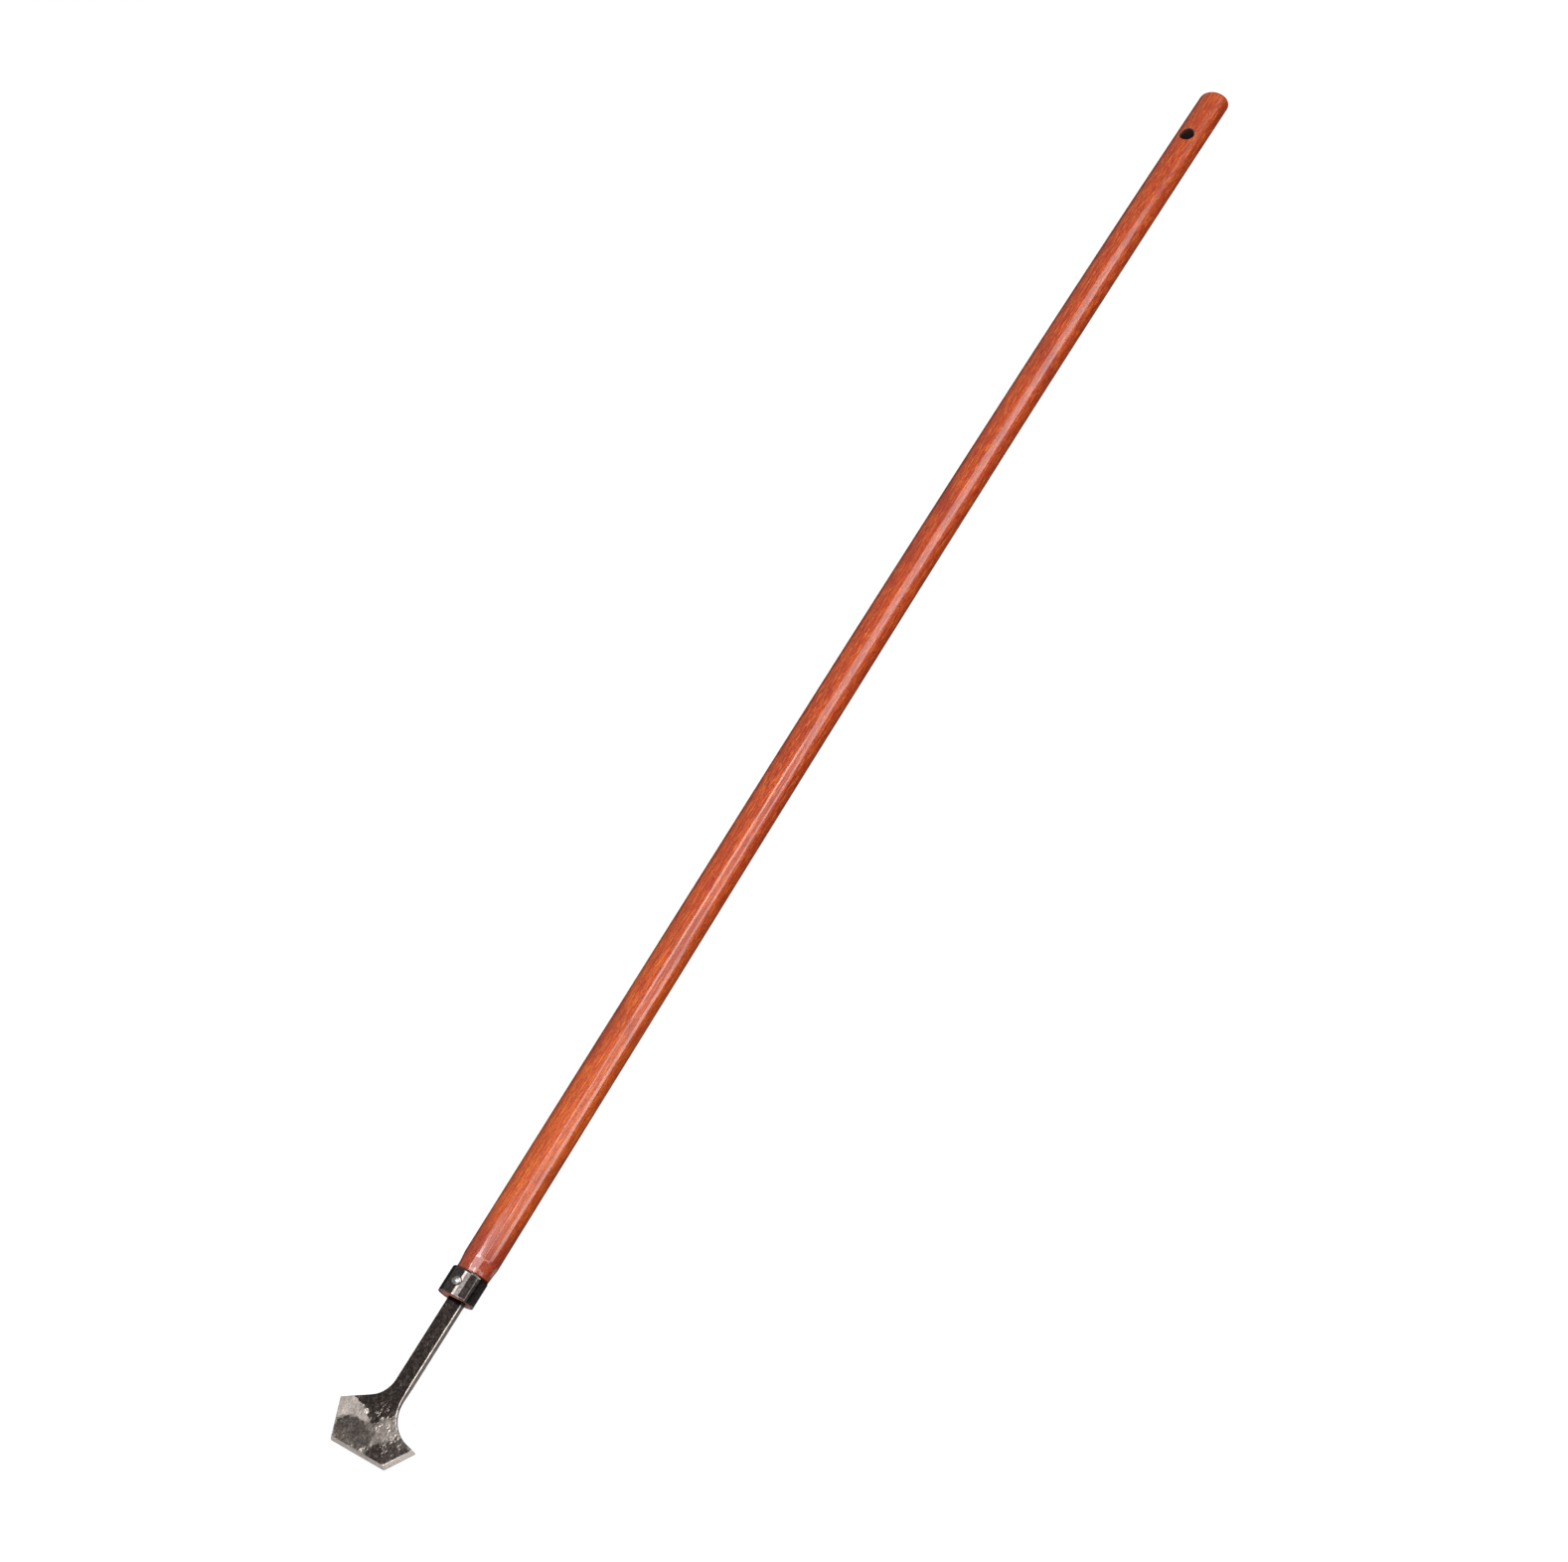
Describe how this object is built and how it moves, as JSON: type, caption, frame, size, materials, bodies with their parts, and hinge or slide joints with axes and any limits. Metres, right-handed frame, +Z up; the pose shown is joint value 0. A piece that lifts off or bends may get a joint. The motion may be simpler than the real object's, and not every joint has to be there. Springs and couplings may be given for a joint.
{
  "type": "push hoe",
  "caption": "Long-handled push hoe: a flat forged scraper blade on a slim shank, its tang riveted into a tapered wooden handle through a steel ferrule.",
  "frame": {"origin": "on the floor under the middle of the tool's length and width, the tool lying flat", "axes": "+X from the blade's cutting edge to the grip end, +Z up out of the blade's ground face, +Y across the blade"},
  "size_m": [1.4519, 0.0792, 0.0348],
  "materials": {
    "stained_wood": "red-brown stain under satin varnish, fine long grain",
    "blackened_steel": "blackened, satin gloss, bare at the cut rim",
    "forged_steel": "black forge scale partly ground back to bare steel, bright ground edges",
    "rivet_steel": "peened bare steel"
  },
  "bodies": {
    "root": {"handle": "stained_wood", "ferrule": "blackened_steel", "forged_head": "forged_steel", "ferrule_rivet": "rivet_steel"}
  },
  "joints": []
}
